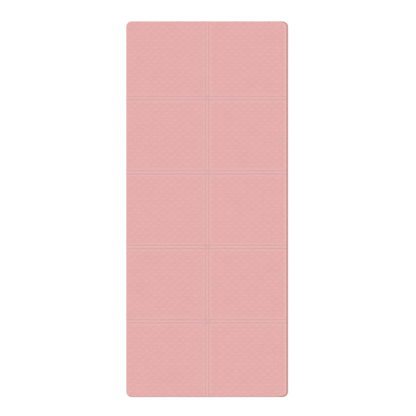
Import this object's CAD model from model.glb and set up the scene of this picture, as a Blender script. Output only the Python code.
import math

import bpy
import numpy as np
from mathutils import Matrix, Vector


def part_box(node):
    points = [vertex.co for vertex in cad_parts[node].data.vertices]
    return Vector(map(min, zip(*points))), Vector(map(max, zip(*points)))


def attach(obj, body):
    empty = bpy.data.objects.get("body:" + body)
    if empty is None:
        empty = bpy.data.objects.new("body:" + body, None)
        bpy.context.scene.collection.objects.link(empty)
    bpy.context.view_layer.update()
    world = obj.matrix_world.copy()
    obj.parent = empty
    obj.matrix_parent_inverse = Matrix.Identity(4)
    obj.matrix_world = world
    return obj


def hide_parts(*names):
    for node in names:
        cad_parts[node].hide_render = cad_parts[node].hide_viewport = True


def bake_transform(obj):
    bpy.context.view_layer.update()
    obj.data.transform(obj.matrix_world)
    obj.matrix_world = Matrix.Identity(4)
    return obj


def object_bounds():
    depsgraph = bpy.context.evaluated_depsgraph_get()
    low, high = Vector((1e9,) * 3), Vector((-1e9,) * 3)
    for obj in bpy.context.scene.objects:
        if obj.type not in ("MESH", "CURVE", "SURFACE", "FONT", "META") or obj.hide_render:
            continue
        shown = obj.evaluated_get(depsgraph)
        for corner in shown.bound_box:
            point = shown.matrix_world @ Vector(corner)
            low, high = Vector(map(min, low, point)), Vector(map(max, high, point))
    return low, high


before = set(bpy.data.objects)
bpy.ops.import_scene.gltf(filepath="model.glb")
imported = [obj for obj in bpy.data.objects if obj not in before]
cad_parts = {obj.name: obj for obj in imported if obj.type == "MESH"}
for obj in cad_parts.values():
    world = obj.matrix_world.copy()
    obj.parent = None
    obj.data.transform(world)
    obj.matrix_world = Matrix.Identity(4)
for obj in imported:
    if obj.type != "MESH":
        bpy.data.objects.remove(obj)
cad_low, cad_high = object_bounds()


# ---------------------------------------------------------------------------------------------------
# Base pads. Ten pads of dense closed-cell foam, one under each panel, die-cut square at the sides.
# Long low waves are moulded into the underside so that it grips the floor. The sheet is bonded on top.
# ---------------------------------------------------------------------------------------------------

MM = 0.001
ROWS = (1, 2, 3, 4, 5)
SIDES = ("left", "right")
CORNER_RADIUS = 26 * MM
PAD_ARRIS = 0.8 * MM  # radius of the lower edge of a pad
PAD_WAIST = 0.15 * MM  # how far the cut side is drawn in at half height
WAVE_DEPTH = 0.6 * MM
WAVE_LENGTH = 14 * MM
WAVE_SWING = 4 * MM
WAVE_SWING_LENGTH = 58 * MM
WAVE_START = 2 * MM  # how far in from a pad's edge the waves begin
WAVE_FADE = 6 * MM  # and over what distance they reach their full depth
ARRIS_STEPS = (0, 0.1 * MM, 0.35 * MM, 0.8 * MM, 1.6 * MM)  # the mesh's first lines in from an edge
PAD_PITCH = (5 * MM, 2.4 * MM)  # and the distance between its other lines, across and along the mat


def span(low, high, low_steps, high_steps, pitch):
    """Places from low to high: the given steps in from each end, and even steps of about pitch between."""
    start, stop = low + low_steps[-1], high - high_steps[-1]
    count = max(2, round((stop - start) / pitch) + 1)
    near_low = low + np.array(low_steps[:-1])
    near_high = high - np.array(high_steps[-2::-1])
    return np.concatenate([near_low, np.linspace(start, stop, count), near_high])


def corner_rounded(x, y):
    """The same places, with those at the mat's four corners drawn in from a square corner to an arc."""
    centre_x = cad_high.x - CORNER_RADIUS
    centre_y = cad_high.y - CORNER_RADIUS
    across = np.abs(x) - centre_x
    along = np.abs(y) - centre_y
    at_corner = (across > 0) & (along > 0)
    far = np.where(at_corner, np.hypot(across, along), 1)
    draw = np.where(at_corner, np.maximum(across, along) / far, 1)
    new_x = np.where(at_corner, np.sign(x) * (centre_x + across * draw), x)
    new_y = np.where(at_corner, np.sign(y) * (centre_y + along * draw), y)
    return new_x, new_y


def inset_from_edge(x, y):
    """How far each place lies in from the mat's cut edge."""
    across = np.abs(x) - (cad_high.x - CORNER_RADIUS)
    along = np.abs(y) - (cad_high.y - CORNER_RADIUS)
    past = np.hypot(np.maximum(across, 0), np.maximum(along, 0))
    return CORNER_RADIUS - past - np.minimum(np.maximum(across, along), 0)


def foam_slab(name, xs, ys, worked_face, rings, faces_up):
    """A closed slab of foam: one worked face on a grid, side walls through rings, and a flat back.

    worked_face(x, y) gives the height of the face. Each ring is (height, draw_x, draw_y), the last one
    being the rim of the back, where a draw moves that wall in at the low and the high end.
    """
    x, y = corner_rounded(*np.meshgrid(xs, ys, indexing="ij"))
    z = worked_face(x, y)
    across, along = x.shape
    number = np.arange(across * along).reshape(across, along)
    quads = np.stack([number[:-1, :-1], number[1:, :-1], number[1:, 1:], number[:-1, 1:]], axis=-1)
    quads = quads.reshape(-1, 4)
    rim = np.concatenate([number[:-1, 0], number[-1, :-1], number[:0:-1, -1], number[0, :0:-1]])
    points = [np.stack([x, y, z], axis=-1).reshape(-1, 3)]
    rim_points = points[0][rim]
    low, high = rim_points.min(axis=0), rim_points.max(axis=0)
    faces = quads.tolist()
    upper, total = rim, len(points[0])
    for height, draw_x, draw_y in rings:
        ring = rim_points.copy()
        for axis, draw in ((0, draw_x), (1, draw_y)):
            shrink = 1 - sum(draw) / (high[axis] - low[axis])
            ring[:, axis] = low[axis] + draw[0] + (ring[:, axis] - low[axis]) * shrink
        ring[:, 2] = height
        lower = total + np.arange(len(rim))
        faces += np.stack([upper, lower, np.roll(lower, -1), np.roll(upper, -1)], axis=-1).tolist()
        points.append(ring)
        upper, total = lower, total + len(rim)
    faces.append(upper[::-1].tolist())
    mesh = bpy.data.meshes.new(name)
    if not faces_up:
        faces = [face[::-1] for face in faces]
    mesh.from_pydata(np.concatenate(points).tolist(), [], faces)
    mesh.polygons.foreach_set("use_smooth", [index < len(faces) - 1 for index in range(len(faces))])
    mesh.update()
    piece = bpy.data.objects.new(name, mesh)
    bpy.context.scene.collection.objects.link(piece)
    return piece


def paint(piece, name, values):
    """Stores one number for each point of a piece, for its material to read."""
    layer = piece.data.attributes.new(name, "FLOAT", "POINT")
    layer.data.foreach_set("value", np.ascontiguousarray(values, dtype=np.float32))


def places(piece):
    """The points of a piece, as arrays of X, Y and Z."""
    flat = np.zeros(len(piece.data.vertices) * 3)
    piece.data.vertices.foreach_get("co", flat)
    return flat.reshape(-1, 3).T


class Wire:
    """One output of a material's nodes. Arithmetic on wires adds Math nodes."""

    def __init__(self, socket):
        self.socket = socket

    def node(self, kind, settings, sockets, output=0):
        """Adds a node of that kind, with its settings and then the values or wires of its sockets."""
        tree = self.socket.id_data
        made = tree.nodes.new(kind)
        for name, value in settings.items():
            setattr(made, name, value)
        for key, value in sockets.items():
            if isinstance(value, Wire):
                tree.links.new(value.socket, made.inputs[key])
            else:
                made.inputs[key].default_value = value
        return Wire(made.outputs[output])

    def math(self, operation, *values):
        return self.node("ShaderNodeMath", {"operation": operation}, dict(enumerate(values)))

    def __add__(self, other):
        return self.math("ADD", self, other)

    def __sub__(self, other):
        return self.math("SUBTRACT", self, other)

    def __rsub__(self, other):
        return self.math("SUBTRACT", other, self)

    def __mul__(self, other):
        return self.math("MULTIPLY", self, other)

    __radd__ = __add__
    __rmul__ = __mul__

    def vector(self, operation, other):
        return self.node("ShaderNodeVectorMath", {"operation": operation}, {0: self, 1: other})

    def noise(self, scale, detail=2.0, output="Fac"):
        """Noise of that many cells to the metre at this place, from 0 to 1 and 0.5 on average."""
        sockets = {"Vector": self, "Scale": scale, "Detail": detail}
        return self.node("ShaderNodeTexNoise", {}, sockets, output)

    def bent(self, scale, distance):
        """This place, moved about by up to that distance as noise of that scale says."""
        push = self.noise(scale, output="Color").vector("SUBTRACT", (0.5, 0.5, 0.5))
        return self.vector("ADD", push.vector("MULTIPLY", (2 * distance,) * 3))

    def mixed(self, first, second):
        """Colour first where this factor is 0 and second where it is 1."""
        # a Mix node's two colours are its inputs 6 and 7, and its mixed colour is output 2
        return self.node("ShaderNodeMix", {"data_type": "RGBA"}, {0: self, 6: first, 7: second}, 2)


FOAM_SPECULAR = 0.3
PEBBLE_DEPTH = 0.5 * MM
PEBBLE_BUMP = 0.8
PEBBLE_BEND_SCALE = 0.7  # scale of the noise that makes the pebbles uneven, against theirs
PEBBLE_BEND = 0.4  # how far it moves their edges, in pebbles
GRAIN_SCALE = 2.5  # scale of the fine grain on the pebbles, against theirs
GRAIN_HEIGHT = 0.35
SMOOTHER_TOPS = 0.07  # taken off the foam's roughness at the middle of a pebble
ROUGHER_DENTS = 0.15  # and added to that between pebbles


def foam_finish(name, roughness, pebble_scale):
    """A matt foam material, as (material, shader, place, dents).

    Its skin is pebbled: dents is 0 at the middle of a pebble and rises to about 1 between pebbles.
    """
    material = bpy.data.materials.new(name)
    material.use_nodes = True
    tree = material.node_tree
    shader = tree.nodes["Principled BSDF"]
    shader.inputs["Specular IOR Level"].default_value = FOAM_SPECULAR
    place = Wire(tree.nodes.new("ShaderNodeTexCoord").outputs["Object"])
    uneven = place.bent(pebble_scale * PEBBLE_BEND_SCALE, PEBBLE_BEND / pebble_scale)
    dents = place.node("ShaderNodeTexVoronoi", {}, {"Vector": uneven, "Scale": pebble_scale}, "Distance")
    height = 1 - dents + place.noise(pebble_scale * GRAIN_SCALE) * GRAIN_HEIGHT
    relief = {"Strength": PEBBLE_BUMP, "Distance": PEBBLE_DEPTH, "Height": height}
    bump = place.node("ShaderNodeBump", {}, relief)
    tree.links.new(bump.socket, shader.inputs["Normal"])
    rough = dents * ROUGHER_DENTS + (roughness - SMOOTHER_TOPS)
    tree.links.new(rough.socket, shader.inputs["Roughness"])
    return material, shader, place, dents


PAD_COLOUR = (0.578, 0.258, 0.254, 1)
PAD_SHADE = (0.500, 0.212, 0.210, 1)
PAD_ROUGHNESS = 0.85
PAD_PEBBLES = 620  # to the metre
PAD_PATCHES = 40  # shaded patches to the metre
PAD_PATCH_SHADE = 0.4
PAD_DENT_SHADE = 0.8
pad_foam, pad_shader, pad_place, pad_dents = foam_finish("dense_base_foam", PAD_ROUGHNESS, PAD_PEBBLES)
pad_shading = pad_place.noise(PAD_PATCHES) * PAD_PATCH_SHADE + pad_dents * PAD_DENT_SHADE
pad_colour = pad_shading.mixed(PAD_COLOUR, PAD_SHADE)
pad_foam.node_tree.links.new(pad_colour.socket, pad_shader.inputs["Base Color"])


def pad_underside(x, y):
    """Height of a pad's lower face: rounded at the pad's own edges, with waves that fade out there."""
    from_sides = np.minimum.reduce([x - x.min(), x.max() - x, y - y.min(), y.max() - y])
    edge = np.minimum(from_sides, inset_from_edge(x, y))
    turn = np.clip(1 - edge / PAD_ARRIS, 0, 1)
    arris = PAD_ARRIS * (1 - np.sqrt(1 - turn**2))
    swing = WAVE_SWING * np.sin(2 * math.pi * x / WAVE_SWING_LENGTH)
    wave = 0.5 - 0.5 * np.cos(2 * math.pi * (y + swing) / WAVE_LENGTH)
    fade = np.clip((edge - WAVE_START) / WAVE_FADE, 0, 1)
    return arris + WAVE_DEPTH * wave**2 * fade


for row in ROWS:
    for side in SIDES:
        node = f"base_pad_row{row}_{side}"
        low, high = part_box(node)
        pad = foam_slab(
            f"grip_pad_row{row}_{side}",
            span(low.x, high.x, ARRIS_STEPS, ARRIS_STEPS, PAD_PITCH[0]),
            span(low.y, high.y, ARRIS_STEPS, ARRIS_STEPS, PAD_PITCH[1]),
            pad_underside,
            [((low.z + high.z) / 2, (PAD_WAIST,) * 2, (PAD_WAIST,) * 2), (high.z, (0, 0), (0, 0))],
            False,
        )
        pad.data.materials.append(pad_foam)
        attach(pad, f"row{row}_{side}")
        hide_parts(node)


# ---------------------------------------------------------------------------------------------------
# Embossed sheet. A softer, paler foam skin over the whole mat, moulded with staggered raised ovals and
# pressed down at the creases. It is cut at the fold lines into ten panels, each bonded to its pad.
# ---------------------------------------------------------------------------------------------------

CREASES = ("12", "23", "34", "45")  # each named for the two rows that it lies between
EMBOSS_HEIGHT = 0.36 * MM
EMBOSS_PROUD = 0.12 * MM  # the tops of the ovals, above the face of the plain sheet
EMBOSS_ACROSS = 39.5 * MM
EMBOSS_ALONG = 33.5 * MM
SMALL_OVAL = (7.8 * MM, 5.5 * MM)
LARGE_OVAL = (12.0 * MM, 6.0 * MM)
OVAL_SHOULDER = 2.2  # 1 for a round-topped oval, more for a flat top with a firmer shoulder
OVALS_IN_CREASE = 0.5  # how much of an oval's height is left inside a crease
OVALS_OFF_CENTRE = 3.1 * MM
SMALL_OVALS_FROM_END = 12.5 * MM
LARGE_OVALS_FROM_END = 28.4 * MM
EDGE_WIDTH = 2.8 * MM  # the cut edge rolls down over this width
BORDER_WIDTH = 9.6 * MM  # and over this width at the right side, where the mould's border is left on
BORDER_START = 60 * MM  # how far in from the right side the edge starts to widen
EDGE_DROP = 1.9 * MM
EDGE_SLOPE = 0.55  # share of the drop that comes as a slope, the rest being a round at the cut
EDGE_SLOPE_POWER = 1.5
EDGE_SHARPNESS = 6  # how quickly the edge's darker colour comes in from its inner line
BEAD_HEIGHT = 0.14 * MM  # the bead inside the moulded border
BEAD_INSET = 12.4 * MM
BEAD_HALF = 2.8 * MM
GROOVE_DEPTH = 0.17 * MM
GROOVE_HALF = 2.8 * MM
NICK_DEPTH = 0.08 * MM  # the sharp line where the foam bends, at the bottom of a groove
NICK_HALF = 0.6 * MM
NICK_DARKNESS = 0.35  # share of a groove's dark colour that is kept for the nick
RIDGE_FROM_FOLD = 8.0 * MM  # foam pressed out of a groove stands up in a low ridge this far away
RIDGE_HALF = 2.1 * MM
RIDGE_HEIGHT = 0.2 * MM
OUTER_RIDGE_PALENESS = 0.55  # how far a ridge beside a crease takes on the ridge colour
MIDDLE_RIDGE_PALENESS = 0.85  # and the crest along the middle of the crease
FOLD_GAP = 0.01 * MM  # from a fold line to the foam on each side
BEVEL_BACK = 2.5 * MM  # how far a sheet's lower face stops short of a cross fold line
# How far in the mesh's first lines lie, from a fold line and from the mat's cut edge.
FOLD_STEPS = tuple(step * MM for step in (0, 0.25, 0.55, 0.9, 1.5, 2.2, 3.0, 4.2))
EDGE_STEPS = tuple(
    step * MM for step in (0, 0.05, 0.2, 0.6, 1.2, 2.0, 3.0, 4.2, 5.6, 7.2, 9.0, 10.8, 12.2, 14)
)
SHEET_PITCH = (3.0 * MM, 2.3 * MM)  # the distance between its other lines, across and along the mat
NARROW_PIECE = 21 * MM  # a piece narrower than this is a strip of the long crease
NARROW_PITCH = 0.8 * MM


def between(node_below, node_above, axis):
    """The place halfway across the slit between two nodes, along axis 0 or 1."""
    return (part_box(node_below)[1][axis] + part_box(node_above)[0][axis]) / 2


sheet_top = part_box("top_sheet_row3_right")[1].z
sheet_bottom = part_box("top_sheet_row3_right")[0].z
fold_x = (
    between("top_sheet_row3_left", "centre_crease_row3", 0),
    between("centre_crease_row3", "top_sheet_row3_right", 0),
)
fold_y = {
    crease: (
        between(f"top_sheet_row{crease[1]}_right", f"cross_crease_{crease}_right", 1),
        between(f"cross_crease_{crease}_right", f"top_sheet_row{crease[0]}_right", 1),
    )
    for crease in CREASES
}


def ovals(x, y, size, centre_x, centre_y):
    """A lattice of raised ovals, from 0 between them to 1 on top of them."""
    across = (x - centre_x + EMBOSS_ACROSS / 2) % EMBOSS_ACROSS - EMBOSS_ACROSS / 2
    along = (y - centre_y + EMBOSS_ALONG / 2) % EMBOSS_ALONG - EMBOSS_ALONG / 2
    return np.exp(-(((across / size[0]) ** 2 + (along / size[1]) ** 2) ** OVAL_SHOULDER))


def raised(x, y):
    """The embossed pattern, from 0 to 1. The ovals of one row stand between those of the next."""
    column = OVALS_OFF_CENTRE
    small = ovals(x, y, SMALL_OVAL, column, cad_high.y - SMALL_OVALS_FROM_END)
    large = ovals(x, y, LARGE_OVAL, column + EMBOSS_ACROSS / 2, cad_high.y - LARGE_OVALS_FROM_END)
    return np.maximum(small, large)


def fold_distance(x, y):
    """Distance to the nearest fold line of any crease."""
    lines = [np.abs(x - line) for line in fold_x]
    lines += [np.abs(y - line) for pair in fold_y.values() for line in pair]
    return np.minimum.reduce(lines)


def within_crease(x, y):
    """1 between the two fold lines of a crease, and 0 elsewhere."""
    inside = (x > fold_x[0]) & (x < fold_x[1])
    for low, high in fold_y.values():
        inside |= (y > low) & (y < high)
    return inside * 1.0


def bell(distance, half):
    """1 at no distance, falling off smoothly to nearly 0 at twice the half width."""
    return np.exp(-((distance / half) ** 2))


def at_right(x):
    """0 over most of the mat, rising to 1 at its right side."""
    rise = np.clip((x - (cad_high.x - BORDER_START)) / BORDER_START, 0, 1)
    return rise**2 * (3 - 2 * rise)


def rolled_edge(x, y):
    """How far out each place is on the rolled edge, from 0 at its inner line to 1 at the cut."""
    width = EDGE_WIDTH + (BORDER_WIDTH - EDGE_WIDTH) * at_right(x)
    return np.clip(1 - inset_from_edge(x, y) / width, 0, 1)


def ridges(x, y):
    """The low ridges beside the creases, and the crest along the middle of each, from 0 to 1."""
    return bell(fold_distance(x, y) - RIDGE_FROM_FOLD, RIDGE_HALF)


def border_bead(x, y):
    """The bead inside the moulded border at the right side, from 0 to 1."""
    return bell(inset_from_edge(x, y) - BEAD_INSET, BEAD_HALF) * at_right(x)


def sheet_face(x, y):
    """Height of the upper face over the whole mat."""
    edge = rolled_edge(x, y)
    round_drop = 1 - np.sqrt(np.maximum(1 - edge**2, 0))
    rolled = EDGE_DROP * (EDGE_SLOPE * edge**EDGE_SLOPE_POWER + (1 - EDGE_SLOPE) * round_drop)
    fold = fold_distance(x, y)
    groove = GROOVE_DEPTH * bell(fold, GROOVE_HALF) + NICK_DEPTH * bell(fold, NICK_HALF)
    standing = RIDGE_HEIGHT * ridges(x, y) + BEAD_HEIGHT * border_bead(x, y)
    kept = (1 - (1 - OVALS_IN_CREASE) * within_crease(x, y)) * (1 - edge)
    pattern = (EMBOSS_HEIGHT - standing) * raised(x, y) * kept
    ground = sheet_top + EMBOSS_PROUD - EMBOSS_HEIGHT
    return ground + pattern + standing - groove - rolled


def sheet_piece(name, x_ends, y_ends, foam):
    """A piece of the sheet. Each end is (place, whether it is a fold line)."""
    steps = [FOLD_STEPS if at_fold else EDGE_STEPS for _, at_fold in x_ends + y_ends]
    gaps = [FOLD_GAP if at_fold else 0 for _, at_fold in x_ends + y_ends]
    narrow = x_ends[1][0] - x_ends[0][0] < NARROW_PIECE
    pitch = NARROW_PITCH if narrow else SHEET_PITCH[0]
    xs = span(x_ends[0][0] + gaps[0], x_ends[1][0] - gaps[1], steps[0], steps[1], pitch)
    ys = span(y_ends[0][0] + gaps[2], y_ends[1][0] - gaps[3], steps[2], steps[3], SHEET_PITCH[1])
    bevel = [BEVEL_BACK if at_fold else 0 for _, at_fold in y_ends]
    piece = foam_slab(name, xs, ys, sheet_face, [(sheet_bottom, (0, 0), bevel)], True)
    x, y, _ = places(piece)
    paint(piece, "raised", raised(x, y))
    fold = fold_distance(x, y)
    darkness = (1 - NICK_DARKNESS) * bell(fold, GROOVE_HALF) + NICK_DARKNESS * bell(fold, NICK_HALF)
    paint(piece, "groove", darkness)
    paleness = np.where(within_crease(x, y) > 0, MIDDLE_RIDGE_PALENESS, OUTER_RIDGE_PALENESS)
    paint(piece, "ridge", np.maximum(paleness * ridges(x, y), border_bead(x, y)))
    paint(piece, "edge", np.minimum(EDGE_SHARPNESS * rolled_edge(x, y), 1))
    piece.data.materials.append(foam)
    return piece


SHEET_DARK = (0.664, 0.352, 0.346, 1)
SHEET_LIGHT = (0.880, 0.466, 0.458, 1)
GROOVE_COLOUR = (0.655, 0.385, 0.380, 1)
RIDGE_COLOUR = (0.850, 0.512, 0.508, 1)
EDGE_COLOUR = (0.640, 0.298, 0.278, 1)
GROOVE_DARKNESS = 0.78  # how far the bottom of a groove takes on the groove colour
SHEET_ROUGHNESS = 0.72
SHEET_PEBBLES = 560  # to the metre
SHEET_PATCHES = 14  # broad uneven patches to the metre
PATCH_TONE = 0.2
SHEET_SPECKLES = 170  # to the metre
SPECKLE_TONE = 0.85
DENT_TONE = 0.4
OVAL_TONE = 0.16  # how much paler the tops of the ovals are
BASE_TONE = 0.18  # added everywhere
sheet_foam, sheet_shader, sheet_place, sheet_dents = foam_finish(
    "embossed_sheet_foam", SHEET_ROUGHNESS, SHEET_PEBBLES
)


def painted(name):
    """The numbers that paint() stored under that name."""
    return sheet_place.node("ShaderNodeAttribute", {"attribute_name": name}, {}, "Fac")


patches = sheet_place.noise(SHEET_PATCHES) * PATCH_TONE
speckles = sheet_place.noise(SHEET_SPECKLES) * SPECKLE_TONE
tone = patches + speckles - sheet_dents * DENT_TONE + painted("raised") * OVAL_TONE + BASE_TONE
colour = tone.mixed(SHEET_DARK, SHEET_LIGHT)
colour = painted("ridge").mixed(colour, RIDGE_COLOUR)
colour = (painted("groove") * GROOVE_DARKNESS).mixed(colour, GROOVE_COLOUR)
colour = painted("edge").mixed(colour, EDGE_COLOUR)
sheet_foam.node_tree.links.new(colour.socket, sheet_shader.inputs["Base Color"])

x_spans = {
    "left": [(cad_low.x, False), (fold_x[0], True)],
    "middle": [(fold_x[0], True), (fold_x[1], True)],
    "right": [(fold_x[1], True), (cad_high.x, False)],
}
row_spans = {}
for row in ROWS:
    below = fold_y.get(f"{row}{row + 1}")
    above = fold_y.get(f"{row - 1}{row}")
    row_spans[row] = [
        (below[1], True) if below else (cad_low.y, False),
        (above[0], True) if above else (cad_high.y, False),
    ]

for row in ROWS:
    for side in SIDES:
        panel = sheet_piece(f"embossed_panel_row{row}_{side}", x_spans[side], row_spans[row], sheet_foam)
        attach(panel, f"row{row}_{side}")
        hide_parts(f"top_sheet_row{row}_{side}")


# ---------------------------------------------------------------------------------------------------
# Cross creases. Between the two fold lines of each cross crease the sheet is a narrow strip with no
# pad under it, so that both lines can close to a right angle. Each strip runs out to the mat's edge.
# ---------------------------------------------------------------------------------------------------

crease_spans = {crease: [(low, True), (high, True)] for crease, (low, high) in fold_y.items()}

for crease in CREASES:
    for side in SIDES:
        strip = sheet_piece(
            f"cross_fold_strip_{crease}_{side}", x_spans[side], crease_spans[crease], sheet_foam
        )
        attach(strip, f"strip_{crease}_{side}")
        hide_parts(f"cross_crease_{crease}_{side}")


# ---------------------------------------------------------------------------------------------------
# Long crease. The same kind of strip down the middle of the mat, in five lengths and four crossings.
# It bends round as the left half folds over the right half.
# ---------------------------------------------------------------------------------------------------

long_crease = [
    (f"long_fold_strip_row{row}", row_spans[row], f"row{row}", f"centre_crease_row{row}") for row in ROWS
] + [
    (f"fold_crossing_{crease}", crease_spans[crease], f"strip_{crease}", f"crease_crossing_{crease}")
    for crease in CREASES
]
for name, y_ends, half, node in long_crease:
    strip = sheet_piece(name, x_spans["middle"], y_ends, sheet_foam)
    middle_y = (y_ends[0][0] + y_ends[1][0]) / 2
    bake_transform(strip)
    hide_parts(node)


# ---------------------------------------------------------------------------------------------------
# Studio. A white floor, an even white sky and one large soft lamp from the upper left of the mat, with
# the camera straight above it. The sky lights the mat less brightly than it is seen.
# ---------------------------------------------------------------------------------------------------

FLOOR_SIZE = 60
FLOOR_DROP = 0.2 * MM  # the floor's surface lies this far under the mat
FLOOR_GREY = (0.32, 0.32, 0.32, 1)
FLOOR_ROUGHNESS = 0.9
FLOOR_GLOW = 0.71
WHITE = (1, 1, 1, 1)
VIEW_WIDTH = 2.026
VIEW_CENTRE = (4.2 * MM, 5.6 * MM)  # from the middle of the mat
CAMERA_HEIGHT = 12
SKY_STRENGTH = 0.52
LAMP_STRENGTH = 2.1
LAMP_ANGLE = math.radians(25)
LAMP_TILT = math.radians(42)
LAMP_TURN = math.radians(45)

bpy.ops.mesh.primitive_plane_add(size=FLOOR_SIZE, location=(0, 0, -FLOOR_DROP))
floor = bpy.context.object
floor.name = "studio_floor"
floor_paint = bpy.data.materials.new("floor_white")
floor_paint.use_nodes = True
floor_shader = floor_paint.node_tree.nodes["Principled BSDF"]
floor_shader.inputs["Base Color"].default_value = FLOOR_GREY
floor_shader.inputs["Roughness"].default_value = FLOOR_ROUGHNESS
floor_shader.inputs["Emission Color"].default_value = WHITE
floor_shader.inputs["Emission Strength"].default_value = FLOOR_GLOW
floor.data.materials.append(floor_paint)

world = bpy.data.worlds.new("sky")
world.use_nodes = True
sky_paint = world.node_tree.nodes["Background"]
sky_paint.inputs["Color"].default_value = WHITE
seen = Wire(world.node_tree.nodes.new("ShaderNodeLightPath").outputs["Is Camera Ray"])
sky_strength = seen * (1 - SKY_STRENGTH) + SKY_STRENGTH
world.node_tree.links.new(sky_strength.socket, sky_paint.inputs["Strength"])
bpy.context.scene.world = world

lamp = bpy.data.lights.new("soft_lamp", "SUN")
lamp.energy = LAMP_STRENGTH
lamp.angle = LAMP_ANGLE
lamp_object = bpy.data.objects.new("soft_lamp", lamp)
lamp_object.rotation_euler = (LAMP_TILT, 0, LAMP_TURN - math.pi)
bpy.context.scene.collection.objects.link(lamp_object)

camera = bpy.data.cameras.new("camera")
camera.type = "ORTHO"
camera.ortho_scale = VIEW_WIDTH
camera_object = bpy.data.objects.new("camera", camera)
camera_object.location = (*VIEW_CENTRE, CAMERA_HEIGHT)
bpy.context.scene.collection.objects.link(camera_object)
bpy.context.scene.camera = camera_object
bpy.context.scene.view_settings.view_transform = "Standard"
